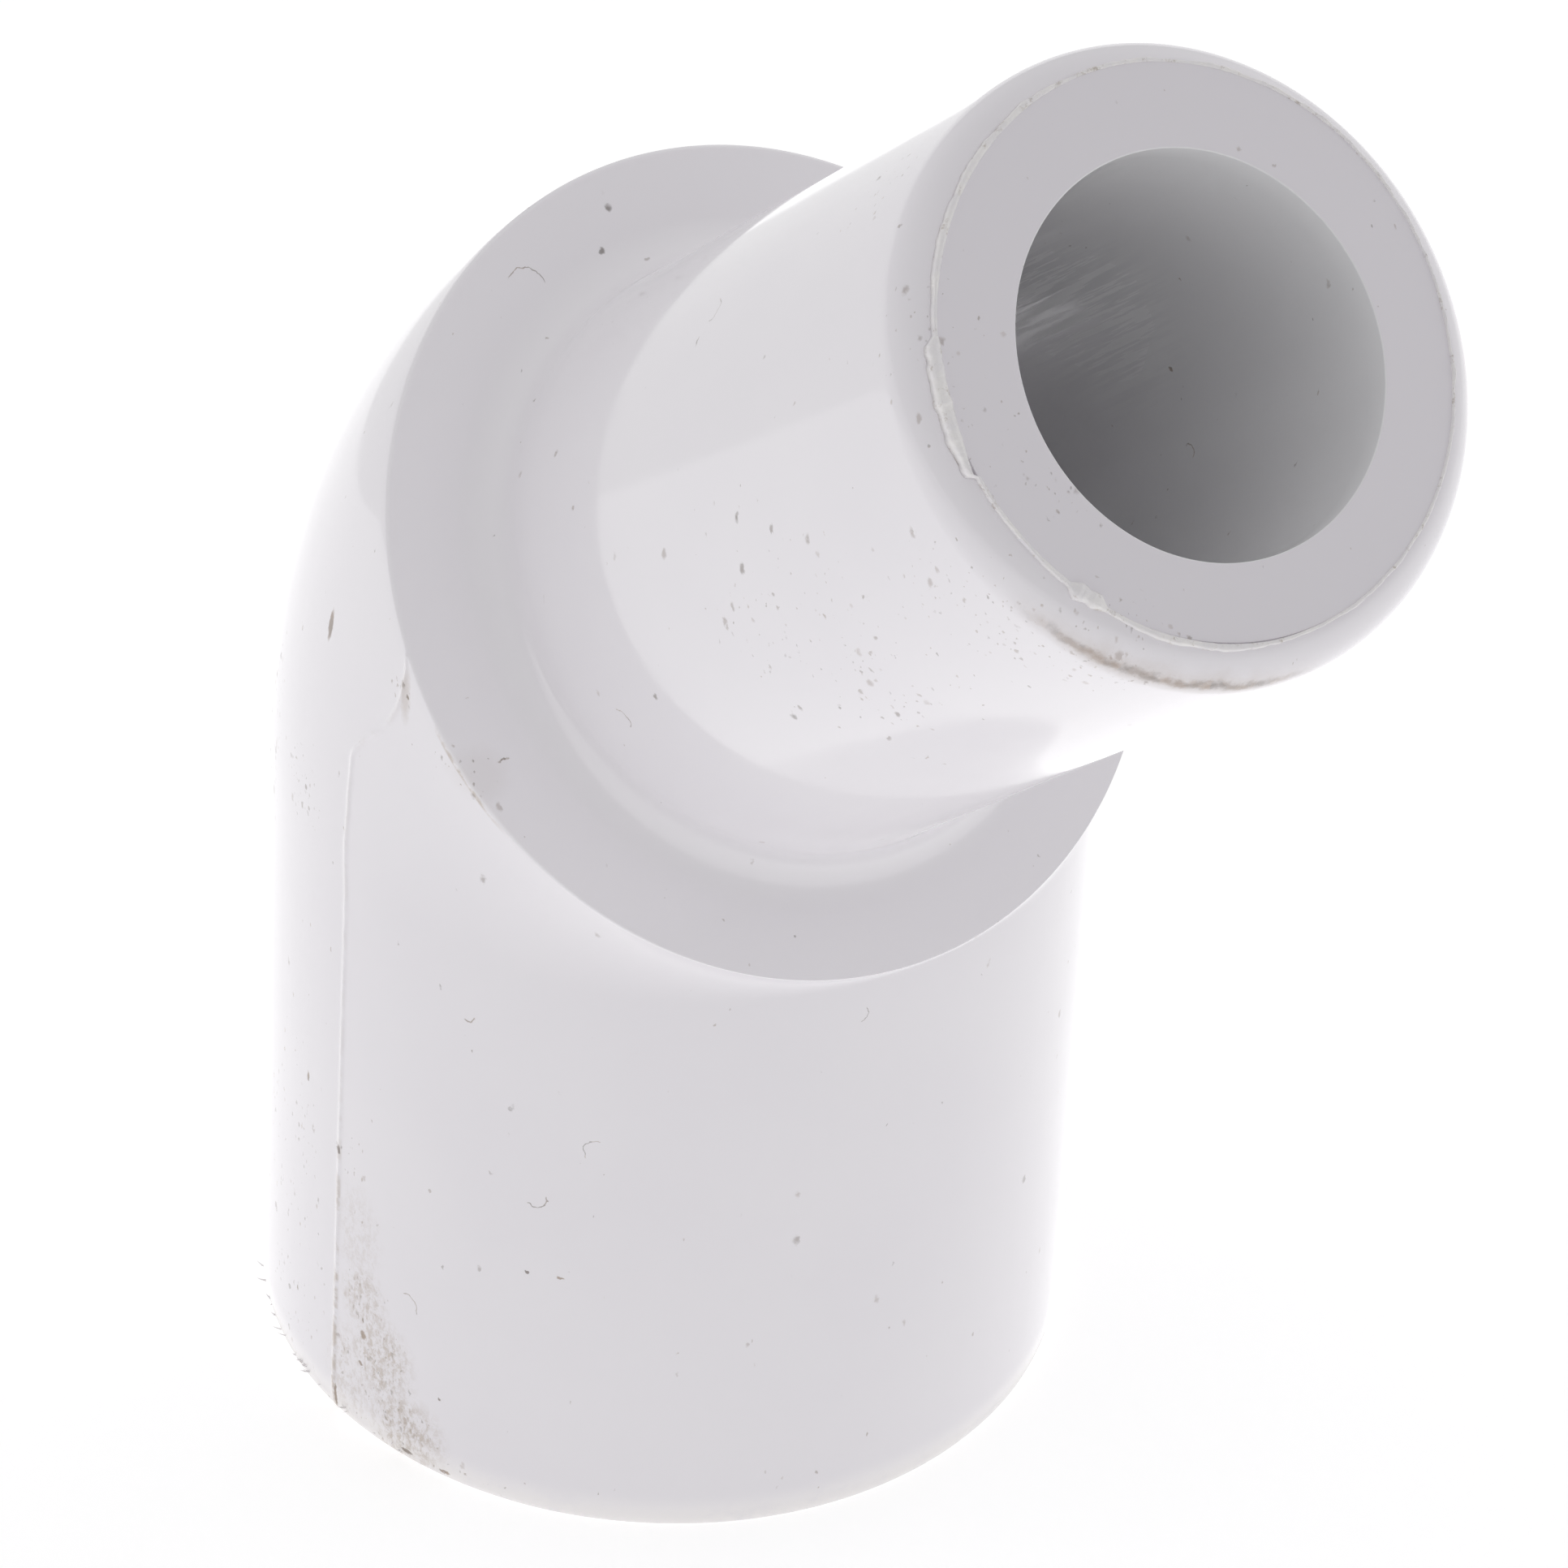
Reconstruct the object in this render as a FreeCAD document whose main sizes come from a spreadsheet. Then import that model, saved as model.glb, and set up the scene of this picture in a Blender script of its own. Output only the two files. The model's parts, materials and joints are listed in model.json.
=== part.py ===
import FreeCAD, Part
import os

import Sketcher

# A 45 degree street elbow for solvent-weld pipe: one injection moulding in white PVC, with nothing
# inside it. The socket takes the end of a pipe, and the spigot goes into the next fitting's socket.
#
# Frame: millimetres, +Z up. The origin is the centre of the socket's mouth, which is the flat face
# that the fitting stands on. The socket's axis is +Z, and the spigot leans over towards +X.

SIZES = {
    "spigot_diameter": 21.34,        # outside of a half-inch pipe
    "spigot_length": 29.3,           # from the shoulder to the end face
    "socket_diameter": 21.38,        # mean of a half-inch socket's slight taper
    "socket_depth": 22.2,            # from the mouth to the pipe stop
    "waterway_diameter": 13.55,
    "hub_diameter": 29.6,            # outside of the socket, the bend and the shoulder
    "centre_to_mouth": 30.5,         # from where the two axes cross to the socket's mouth
    "bend_angle": 45,
    "inner_corner": 0.3,             # radius left on the inside of the bend
    "root_fillet": 1.6,              # between the shoulder and the spigot
    "end_rounding": 1.75,            # on the spigot's end
    "mouth_rounding": 0.3,           # on the outer edge of the socket's mouth
    "mouth_chamfer": 0.8,            # lead-in for the pipe
}

# Expressions that several features share.
ANGLE = "sizes.bend_angle * 1deg"
BEND_RADIUS = "(sizes.hub_diameter / 2 + sizes.inner_corner)"
SETBACK = f"({BEND_RADIUS} * tan({ANGLE} / 2))"           # from the crossing to each end of the bend
HUB_HEIGHT = f"(sizes.centre_to_mouth - {SETBACK})"
SHOULDER_X = f"({SETBACK} * sin({ANGLE}))"
SHOULDER_Z = f"(sizes.centre_to_mouth + {SETBACK} * cos({ANGLE}))"

MATCH = 1e-4                                              # how closely an edge is matched, in mm


def make_sheet(doc):
    """The driving dimensions, one row each, with the name as the value's alias."""
    sheet = doc.addObject("Spreadsheet::Sheet", "sizes")
    for row, (name, value) in enumerate(SIZES.items(), start=1):
        sheet.set(f"A{row}", name)
        sheet.set(f"B{row}", str(value))
        sheet.setAlias(f"B{row}", name)
    doc.recompute()
    return sheet


def circle_sketch(body, name, diameter, base_x="0", base_z="0", tilt="0deg"):
    """A circle on the body's XY plane, after the plane is moved to (base_x, 0, base_z) and tilted about Y."""
    sketch = body.newObject("Sketcher::SketchObject", name)
    plane = next(p for p in body.Origin.OriginFeatures if p.Role == "XY_Plane")
    sketch.AttachmentSupport = [(plane, "")]
    sketch.MapMode = "FlatFace"
    sketch.AttachmentOffset = FreeCAD.Placement(
        FreeCAD.Vector(), FreeCAD.Rotation(FreeCAD.Vector(0, 1, 0), 1)
    )
    sketch.setExpression("AttachmentOffset.Base.x", base_x)
    sketch.setExpression("AttachmentOffset.Base.z", base_z)
    sketch.setExpression("AttachmentOffset.Rotation.Angle", tilt)
    circle = sketch.addGeometry(Part.Circle(FreeCAD.Vector(), FreeCAD.Vector(0, 0, 1), 5), False)
    sketch.addConstraint(Sketcher.Constraint("Coincident", circle, 3, -1, 1))
    size = sketch.addConstraint(Sketcher.Constraint("Diameter", circle, 10))
    sketch.setExpression(f"Constraints[{size}]", diameter)
    return sketch


def add_pad(body, name, sketch, length):
    pad = body.newObject("PartDesign::Pad", name)
    pad.Profile = sketch
    pad.setExpression("Length", length)
    return pad


def add_bore(body, name, sketch, length):
    """A round pocket that runs the way the sketch's normal points."""
    bore = body.newObject("PartDesign::Pocket", name)
    bore.Profile = sketch
    bore.Reversed = True
    bore.setExpression("Length", length)
    return bore


def add_bend(body):
    """The hub's circle turned through the bend's angle, about a line just outside its inner side."""
    sketch = circle_sketch(body, "bend_section", "sizes.hub_diameter", base_z=HUB_HEIGHT)
    hinge = sketch.addGeometry(
        Part.LineSegment(FreeCAD.Vector(20, 0, 0), FreeCAD.Vector(20, 10, 0)), True
    )
    sketch.addConstraint(Sketcher.Constraint("Vertical", hinge))
    sketch.addConstraint(Sketcher.Constraint("PointOnObject", hinge, 1, -1))
    reach = sketch.addConstraint(Sketcher.Constraint("DistanceX", -1, 1, hinge, 1, 20))
    sketch.setExpression(f"Constraints[{reach}]", BEND_RADIUS)
    bend = body.newObject("PartDesign::Revolution", "bend")
    bend.Profile = sketch
    bend.ReferenceAxis = (sketch, ["Axis0"])
    bend.setExpression("Angle", ANGLE)
    return bend


def ring(shape, diameter, centre):
    """The name of the round edge with this diameter and centre."""
    for number, edge in enumerate(shape.Edges, start=1):
        curve = edge.Curve
        if (
            isinstance(curve, Part.Circle)
            and abs(curve.Radius - diameter / 2) < MATCH
            and curve.Center.distanceToPoint(centre) < MATCH
        ):
            return f"Edge{number}"
    raise RuntimeError(f"no round edge of diameter {diameter} at {centre}")


def dress_edge(body, kind, name, base, edge, size):
    """A PartDesign::Fillet or PartDesign::Chamfer on one edge of the feature before it."""
    feature = body.newObject(kind, name)
    feature.Base = (base, [edge])
    feature.setExpression("Radius" if kind == "PartDesign::Fillet" else "Size", size)
    body.Document.recompute()
    return feature


def make_elbow(doc, sheet):
    body = doc.addObject("PartDesign::Body", "elbow_body")
    body.Label = "elbow_body"

    # Outside: a plain round hub, bent over, with the narrower spigot standing on its end face.
    outline = circle_sketch(body, "hub_outline", "sizes.hub_diameter")
    add_pad(body, "hub", outline, HUB_HEIGHT)
    add_bend(body)
    outline = circle_sketch(
        body, "spigot_outline", "sizes.spigot_diameter", SHOULDER_X, SHOULDER_Z, ANGLE
    )
    spigot = add_pad(body, "spigot", outline, "sizes.spigot_length")
    doc.recompute()

    lean = outline.Placement.Rotation.multVec(FreeCAD.Vector(0, 0, 1))
    shoulder = outline.Placement.Base
    end = shoulder + lean * sheet.spigot_length
    mouth = FreeCAD.Vector()
    root = ring(spigot.Shape, sheet.spigot_diameter, shoulder)
    fillet = dress_edge(body, "PartDesign::Fillet", "root_fillet", spigot, root, "sizes.root_fillet")
    rim = ring(fillet.Shape, sheet.spigot_diameter, end)
    fillet = dress_edge(body, "PartDesign::Fillet", "end_rounding", fillet, rim, "sizes.end_rounding")
    rim = ring(fillet.Shape, sheet.hub_diameter, mouth)
    dress_edge(body, "PartDesign::Fillet", "mouth_rounding", fillet, rim, "sizes.mouth_rounding")

    # Inside: the socket down to its pipe stop, and a waterway that turns the corner in a ball.
    outline = circle_sketch(body, "socket_outline", "sizes.socket_diameter")
    add_bore(body, "socket", outline, "sizes.socket_depth")
    outline = circle_sketch(body, "inlet_outline", "sizes.waterway_diameter")
    add_bore(body, "waterway_inlet", outline, "sizes.centre_to_mouth")
    outline = circle_sketch(
        body, "outlet_outline", "sizes.waterway_diameter", base_z="sizes.centre_to_mouth", tilt=ANGLE
    )
    add_bore(body, "waterway_outlet", outline, f"{SETBACK} + sizes.spigot_length")
    ball = body.newObject("PartDesign::SubtractiveSphere", "waterway_corner")
    ball.setExpression("Radius", "sizes.waterway_diameter / 2")
    ball.AttachmentSupport = outline.AttachmentSupport
    ball.MapMode = "FlatFace"
    ball.setExpression("AttachmentOffset.Base.z", "sizes.centre_to_mouth")
    doc.recompute()
    lip = ring(ball.Shape, sheet.socket_diameter, mouth)
    dress_edge(body, "PartDesign::Chamfer", "mouth_chamfer", ball, lip, "sizes.mouth_chamfer")
    return body


def check_document(doc):
    """Every object has recomputed, and each feature added or took away material as it should."""
    for item in doc.Objects:
        if {"Invalid", "Error"} & set(item.State):
            raise RuntimeError(f"{item.Name} failed: {item.State}")
    last = 0.0
    for feature in doc.getObject("elbow_body").Group:
        if not feature.isDerivedFrom("PartDesign::Feature"):
            continue
        adds = feature.Name in ("hub", "bend", "spigot", "root_fillet")
        if (feature.Shape.Volume > last) != adds:
            raise RuntimeError(f"{feature.Name} changed the volume the wrong way")
        last = feature.Shape.Volume


def write_step(body):
    shape = body.Shape
    if shape.isNull() or not shape.isValid() or len(shape.Solids) != 1:
        raise RuntimeError(f"{body.Label} is not one valid solid")
    shape.exportStep(os.path.join("parts", f"{body.Label}.step"))
    box = shape.BoundBox
    print(f"{body.Label}: {shape.Volume:.1f} mm3, X {box.XMin:.2f} to {box.XMax:.2f}, "
          f"Y {box.YMin:.2f} to {box.YMax:.2f}, Z {box.ZMin:.2f} to {box.ZMax:.2f}")


os.makedirs("parts", exist_ok=True)
document = FreeCAD.newDocument("street_elbow")
elbow = make_elbow(document, make_sheet(document))
document.recompute()
check_document(document)
write_step(elbow)
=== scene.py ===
"""The looks of a white PVC 45 degree street elbow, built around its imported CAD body.

The moulding is one closed mesh of rings: up the hub, round the bend, over the shoulder, along the spigot, in
at its end, back down the waterway and out through the socket. Lengths are in millimetres until the mesh is
written, except for the bumps, the floor, the card and the camera's clipping, which are in metres.
"""

import json
import math

import bpy
import numpy as np
from mathutils import Matrix, Vector, noise


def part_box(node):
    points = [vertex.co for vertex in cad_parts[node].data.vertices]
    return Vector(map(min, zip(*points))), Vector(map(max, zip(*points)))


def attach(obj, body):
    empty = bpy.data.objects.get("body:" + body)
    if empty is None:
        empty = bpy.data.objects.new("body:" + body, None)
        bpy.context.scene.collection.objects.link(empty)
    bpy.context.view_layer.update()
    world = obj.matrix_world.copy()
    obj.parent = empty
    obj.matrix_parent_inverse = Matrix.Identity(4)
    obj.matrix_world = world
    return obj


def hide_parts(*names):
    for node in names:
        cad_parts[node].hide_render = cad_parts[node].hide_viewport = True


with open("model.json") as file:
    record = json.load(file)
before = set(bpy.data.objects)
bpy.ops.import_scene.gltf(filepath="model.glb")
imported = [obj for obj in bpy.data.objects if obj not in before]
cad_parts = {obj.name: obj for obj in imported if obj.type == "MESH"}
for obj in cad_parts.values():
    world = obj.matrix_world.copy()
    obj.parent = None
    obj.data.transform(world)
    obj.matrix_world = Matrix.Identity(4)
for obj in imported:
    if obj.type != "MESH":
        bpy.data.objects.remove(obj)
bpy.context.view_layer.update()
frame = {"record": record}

# ---------------------------------------------------------------- sizes, read from the frame
MM = 0.001
Y_AXIS, Z_AXIS = np.eye(3)[1:]
mounts = {mount["name"]: mount for mount in frame["record"]["mounts"]}


def place(name):
    """Where a mount is, in millimetres."""
    return np.array(mounts[name]["pos_m"]) / MM


def size(name, key):
    return mounts[name]["dims"][key]


SPIGOT_AXIS = np.array(mounts["spigot"]["axis"])
SPIGOT_AXIS /= np.linalg.norm(SPIGOT_AXIS)
BEND = math.acos(SPIGOT_AXIS[2])
HUB_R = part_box("elbow_body")[1].y / MM
SPIGOT_R = size("spigot", "r_mm")
WATER_R = size("waterway_outlet", "r_mm")
SOCKET_R = size("socket_bore", "r_mm")
SPIGOT_END = size("waterway_outlet", "length_mm")          # from the crossing of the two axes
CROSSING = place("waterway_outlet") - SPIGOT_AXIS * SPIGOT_END / 2
SHOULDER = (place("spigot_shoulder") - CROSSING) @ SPIGOT_AXIS
SPIGOT_MIDDLE = (place("spigot") - CROSSING) @ SPIGOT_AXIS
ROOT_FILLET = SPIGOT_MIDDLE - size("spigot", "length_mm") / 2 - SHOULDER
END_ROUNDING = SPIGOT_END - SPIGOT_MIDDLE - size("spigot", "length_mm") / 2
SOCKET_DEPTH = 2 * place("socket_bore")[2]
MOUTH_CHAMFER = SOCKET_DEPTH - size("socket_bore", "length_mm")
HUB_TOP = CROSSING[2] - SHOULDER                           # where the bend begins
BEND_R = SHOULDER / math.tan(BEND / 2)

# small features that only the visual model has
MOUTH_DEPTH, MOUTH_HEIGHT = 0.20, 1.5    # the mouth's outer edge turns in by this, over this height
RIM_LEAST = 0.02             # rounding of the shoulder's outer edge at the inside of the bend
RIM_ROUNDING = 0.15          # and how much more it has elsewhere
BORE_BREAK = 0.06            # rounding of the waterway's two edges
SOCKET_TAPER = 0.075         # the socket's radius, wider at the mouth and narrower at the stop by this much
STOP_FILLET = 0.35
WATER_PIVOT = 0.3            # inner radius of the waterway's corner
SEAM_HEIGHT = 0.050
SEAM_END = 36.1              # how far up the hub and bend the seam meets the rim
SEAM_NEAR_END = 36.0         # its height on the rim is the height here
FAR = 50.0                   # a distance to the seam that means there is none
WAVINESS = 0.010             # of the moulded surface
STEP_R = 9.54                # the end face stops here at a small step, and the flash stands on its edge
STEP_OFF = 0.22              # the step's ring is off centre by this much,
STEP_WAY = math.radians(-160)    # towards this way round the spigot

# ---------------------------------------------------------------- rings
SEAM_OFFSETS = np.radians([-1.6, -1.0, -0.62, -0.36, -0.17, 0, 0.17, 0.36, 0.62, 1.0, 1.6])
SEAM_SHAPE = np.array([0, 0.04, 0.16, 0.50, 0.90, 1, 0.90, 0.50, 0.16, 0.04, 0])
COLUMNS_BETWEEN = 150        # from one seam to the other, half way round


def column_angles():
    """Angles of the columns, close together at the two seams, and each one's share of the seam's height."""
    angles, shape = [], []
    for seam in (-math.pi / 2, math.pi / 2):
        angles += list(seam + SEAM_OFFSETS)
        shape += list(SEAM_SHAPE)
        low, high = seam + SEAM_OFFSETS[-1], seam + math.pi + SEAM_OFFSETS[0]
        angles += list(np.linspace(low, high, COLUMNS_BETWEEN + 2)[1:-1])
        shape += [0] * COLUMNS_BETWEEN
    return np.array(angles), np.array(shape)


COLUMN, SEAM = column_angles()


def smooth(x, low, high):
    """0 below low, 1 above high, and an even S between."""
    t = np.clip((x - low) / (high - low), 0, 1)
    return t * t * (3 - 2 * t)


def shifted(shift):
    """The column angles with both seams moved by shift, in radians, mirrored in the plane of symmetry."""
    return COLUMN + shift * np.sin(COLUMN) * np.abs(np.sin(COLUMN))


def step_radius(angle):
    """The step's distance from the spigot's axis at an angle round it."""
    return STEP_R + STEP_OFF * np.cos(angle - STEP_WAY)


class Rings:
    """The rows of the moulding, each an array of points with one point a column."""

    def __init__(self):
        self.rows = []

    def add(self, centre, tilt, radius, lift=0.0, shift=0.0):
        """A ring about a centre, leaning by tilt from level; radius and lift may differ by column."""
        angle = shifted(shift)
        across = np.array([math.cos(tilt), 0, -math.sin(tilt)])
        along = np.array([math.sin(tilt), 0, math.cos(tilt)])
        radius = np.broadcast_to(radius, angle.shape)
        lift = np.broadcast_to(lift, angle.shape)
        sideways = np.outer(radius * np.cos(angle), across)
        self.rows.append(centre + sideways + np.outer(radius * np.sin(angle), Y_AXIS) + np.outer(lift, along))

    def bend(self, tilt, pivot, radius, shift=0.0):
        """A ring part of the way round a bend, whose pivot's distance and tilt may differ by column."""
        angle = shifted(shift)
        tilt = np.broadcast_to(tilt, angle.shape)
        pivot = np.broadcast_to(pivot, angle.shape)
        reach = pivot - radius * np.cos(angle)
        drop = pivot * math.tan(BEND / 2)
        self.rows.append(np.stack([
            pivot - reach * np.cos(tilt),
            radius * np.sin(angle),
            CROSSING[2] - drop + reach * np.sin(tilt),
        ], axis=1))


def on_hub(rings, height, radius, shift=0.0):
    rings.add(np.zeros(3), 0.0, radius, height, shift)


def on_spigot(rings, distance, radius, shift=0.0):
    rings.add(CROSSING, BEND, radius, distance, shift)


def seam_shift(travel):
    """How far the seam has wandered from the middle of the side, travel millimetres up the hub and bend."""
    places = [0.0, 24.2, 27.5, 29.0, 30.1, 31.2, 32.4, 33.4, 34.3, 35.1, 35.8, SEAM_END]
    degrees = [0.4, -0.1, 1.1, 2.4, 3.7, 2.7, 1.6, 1.3, 1.9, 3.3, 5.3, 7.0]
    return math.radians(np.interp(travel, places, degrees))


def seam_height(travel):
    """The seam's height, uneven along its length."""
    coarse = noise.noise(Vector((travel * 1.7, 3.1, 0))) * 0.45
    fine = noise.noise(Vector((travel * 5.3, 7.7, 0))) * 0.35
    return SEAM_HEIGHT * max(0.6, 1 + (coarse + fine))


def mouth_radius(height):
    """The hub's outside, which turns in a little towards the mouth."""
    share = max(0.0, 1 - height / MOUTH_HEIGHT)
    return HUB_R - MOUTH_DEPTH * (1 - math.sqrt(1 - share * share))


def outer_rows(rings):
    """Mouth face, hub, bend and rim."""
    start = seam_shift(0)
    for radius in np.linspace(SOCKET_R + SOCKET_TAPER + MOUTH_CHAMFER, HUB_R - MOUTH_DEPTH - 0.03, 6):
        on_hub(rings, 0, radius, start)
    for turn in np.linspace(0, math.pi / 2, 20)[1:]:
        height = MOUTH_HEIGHT * (1 - math.cos(turn))
        on_hub(rings, height, mouth_radius(height) + SEAM * seam_height(0) * math.sin(turn), start)
    for height in np.linspace(MOUTH_HEIGHT, HUB_TOP, 74)[1:]:
        on_hub(rings, height, HUB_R + SEAM * seam_height(height), seam_shift(height))
    end = seam_shift(SEAM_END)
    angle = shifted(end)
    rim = RIM_ROUNDING * smooth(-np.cos(angle), -0.97, -0.2) + RIM_LEAST
    stop = BEND - rim / (BEND_R - HUB_R * np.cos(angle))
    for share in np.linspace(0, 1, 49)[1:]:
        travel = HUB_TOP + share * BEND * BEND_R
        rings.bend(stop * share, BEND_R, HUB_R + SEAM * seam_height(travel), seam_shift(travel))
    for turn in np.linspace(0, math.pi / 2, 7)[1:]:
        radius = HUB_R - rim * (1 - math.cos(turn)) + SEAM * seam_height(SEAM_NEAR_END) * math.cos(turn) ** 2
        on_spigot(rings, SHOULDER - rim * (1 - math.sin(turn)), radius, end)


def spigot_rows(rings):
    """Shoulder, root fillet, spigot, end rounding, step and end face."""
    end = seam_shift(SEAM_END)
    root = SPIGOT_R + ROOT_FILLET
    for radius in (HUB_R - RIM_ROUNDING - 0.12, HUB_R - 0.6, (HUB_R + root) / 2, root + 0.3, root):
        on_spigot(rings, SHOULDER, radius, end)
    for turn in np.linspace(0, math.pi / 2, 19)[1:]:
        rise, fall = ROOT_FILLET * (1 - math.cos(turn)), ROOT_FILLET * math.sin(turn)
        on_spigot(rings, SHOULDER + rise, root - fall, end)
    low, high = SHOULDER + ROOT_FILLET, SPIGOT_END - END_ROUNDING
    for share in np.linspace(0, 1, 40)[1:]:
        on_spigot(rings, low + share * (high - low), SPIGOT_R, end * (1 - share))
    step = step_radius(COLUMN)
    last = np.arccos(1 - (SPIGOT_R - step - 0.05) / END_ROUNDING)
    for share in np.linspace(0, 1, 22)[1:]:
        radius = SPIGOT_R - END_ROUNDING * (1 - np.cos(last * share))
        on_spigot(rings, SPIGOT_END - END_ROUNDING * (1 - np.sin(last * share)), radius)
    foot = SPIGOT_END - END_ROUNDING * (1 - np.sin(last))
    for out, height in ((0.015, foot), (0.002, foot + 0.015), (-0.004, SPIGOT_END - 0.02),
                        (-0.014, SPIGOT_END - 0.005), (-0.035, SPIGOT_END)):
        on_spigot(rings, height, step + out)
    for share in np.linspace(0.05, 0.95, 9):
        on_spigot(rings, SPIGOT_END, step + (WATER_R + BORE_BREAK - step) * share)


def inner_rows(rings):
    """Waterway, its corner, the pipe stop and the socket."""
    for turn in np.linspace(0, math.pi / 2, 5):
        radius = WATER_R + BORE_BREAK * (1 - math.sin(turn))
        on_spigot(rings, SPIGOT_END - BORE_BREAK * (1 - math.cos(turn)), radius)
    pivot = WATER_PIVOT + WATER_R * np.maximum(np.cos(COLUMN), 0)
    setback = pivot * math.tan(BEND / 2)
    high = SPIGOT_END - BORE_BREAK
    for share in np.linspace(0, 1, 34)[1:]:
        on_spigot(rings, high + share * (setback - high), WATER_R)
    for share in np.linspace(1, 0, 14)[1:]:
        rings.bend(BEND * share, pivot, WATER_R)
    low = SOCKET_DEPTH + BORE_BREAK
    top = CROSSING[2] - setback
    for share in np.linspace(0, 1, 12)[1:]:
        on_hub(rings, top + share * (low - top), WATER_R)
    for turn in np.linspace(0, math.pi / 2, 5)[1:]:
        on_hub(rings, low - BORE_BREAK * math.sin(turn), WATER_R + BORE_BREAK * (1 - math.cos(turn)))
    floor = SOCKET_R - SOCKET_TAPER
    for radius in np.linspace(WATER_R + BORE_BREAK + 0.1, floor - STOP_FILLET, 7):
        on_hub(rings, SOCKET_DEPTH, radius)
    for turn in np.linspace(0, math.pi / 2, 7)[1:]:
        radius = floor - STOP_FILLET * (1 - math.sin(turn))
        on_hub(rings, SOCKET_DEPTH - STOP_FILLET * (1 - math.cos(turn)), radius)
    for share in np.linspace(0, 1, 28)[1:]:
        height = SOCKET_DEPTH - STOP_FILLET + share * (MOUTH_CHAMFER - SOCKET_DEPTH + STOP_FILLET)
        on_hub(rings, height, floor + 2 * SOCKET_TAPER * share, seam_shift(0) * share)
    for share in (0.12, 0.5, 0.88):
        radius = SOCKET_R + SOCKET_TAPER + MOUTH_CHAMFER * share
        on_hub(rings, MOUTH_CHAMFER * (1 - share), radius, seam_shift(0))


def new_object(name, verts, faces):
    """A smooth-shaded mesh from points in millimetres."""
    mesh = bpy.data.meshes.new(name)
    mesh.from_pydata([tuple(p) for p in np.asarray(verts) * MM], [], faces)
    mesh.shade_smooth()
    mesh.update()
    piece = bpy.data.objects.new(name, mesh)
    bpy.context.scene.collection.objects.link(piece)
    return piece


def ring_faces(rows, columns):
    """Quads between neighbouring rows, and between the last row and the first."""
    faces = []
    for row in range(rows):
        here, there = row * columns, (row + 1) % rows * columns
        for column in range(columns):
            beside = (column + 1) % columns
            faces.append((here + column, here + beside, there + beside, there + column))
    return faces


def build_moulding():
    """The moulding, and at each of its points the distance to the nearer seam, for the material."""
    rings = Rings()
    outer_rows(rings)
    seamed = len(rings.rows)
    spigot_rows(rings)
    inner_rows(rings)
    points = np.concatenate(rings.rows)
    piece = new_object("elbow_moulding", points, ring_faces(len(rings.rows), len(COLUMN)))
    ripple(piece.data)
    gaps = np.full((len(rings.rows), len(COLUMN)), FAR)
    gaps[:seamed] = HUB_R * np.abs(COLUMN % math.pi - math.pi / 2)
    layer = piece.data.attributes.new("from_seam", "FLOAT", "POINT")
    layer.data.foreach_set("value", gaps.ravel().astype(np.float32))
    return piece


def ripple(mesh):
    """The faint unevenness of a moulded surface, along the normals."""
    normals = np.empty((len(mesh.vertices), 3))
    mesh.vertices.foreach_get("normal", normals.ravel())
    points = np.empty_like(normals)
    mesh.vertices.foreach_get("co", points.ravel())
    height = [
        noise.noise(Vector(spot) * 0.16) + 0.4 * noise.noise(Vector(spot) * 0.45 + Vector((5, 2, 9)))
        for spot in points / MM
    ]
    points += normals * (WAVINESS * MM * np.array(height))[:, None]
    points[:, 2] = np.maximum(points[:, 2], 0)
    mesh.vertices.foreach_set("co", points.ravel())
    mesh.update()


# ---------------------------------------------------------------- flash and burrs
FLASH_COLUMNS = 1500
FLASH = (                    # degrees round from the lower side, height, width, how far outwards
    (-180, 0.04, 0.13, 0.00), (-160, 0.05, 0.20, 0.00), (-128, 0.06, 0.17, 0.00),
    (-113, 0.05, 0.11, 0.00), (-111, 0.13, 0.42, 0.10), (-98, 0.15, 0.44, 0.12),
    (-90, 0.13, 0.28, 0.18), (-86, 0.12, 0.15, 0.24), (-85, 0.03, 0.10, 0.00),
    (-58, 0.04, 0.16, 0.00), (-56, 0.16, 0.55, 0.00), (-51, 0.12, 0.40, -0.06),
    (-49, 0.03, 0.13, 0.02), (-42, 0.05, 0.18, 0.10), (-22, 0.06, 0.20, 0.16),
    (-12, 0.03, 0.12, 0.12), (20, 0.04, 0.10, 0.00), (40, 0.05, 0.11, 0.00),
    (75, 0.09, 0.10, -0.04), (120, 0.07, 0.11, 0.03), (150, 0.04, 0.14, 0.00),
    (180, 0.04, 0.13, 0.00),
)
FLASH_SECTION = (            # how far across, in widths, and how far up, in heights; the feet are sunk in
    (0.5, None), (0.5, 0.3), (0.32, 0.8), (0.05, 1.0), (-0.28, 0.85), (-0.5, 0.35), (-0.5, None)
)
FLASH_SUNK_OUT, FLASH_SUNK_IN = 0.32, 0.06
WHISKER_SIDES, WHISKER_STEPS = 5, 5
BURRS = 26
BURRS_MIDDLE, BURRS_SPREAD = -97, 14    # degrees round the mouth; the seam is at -90


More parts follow.
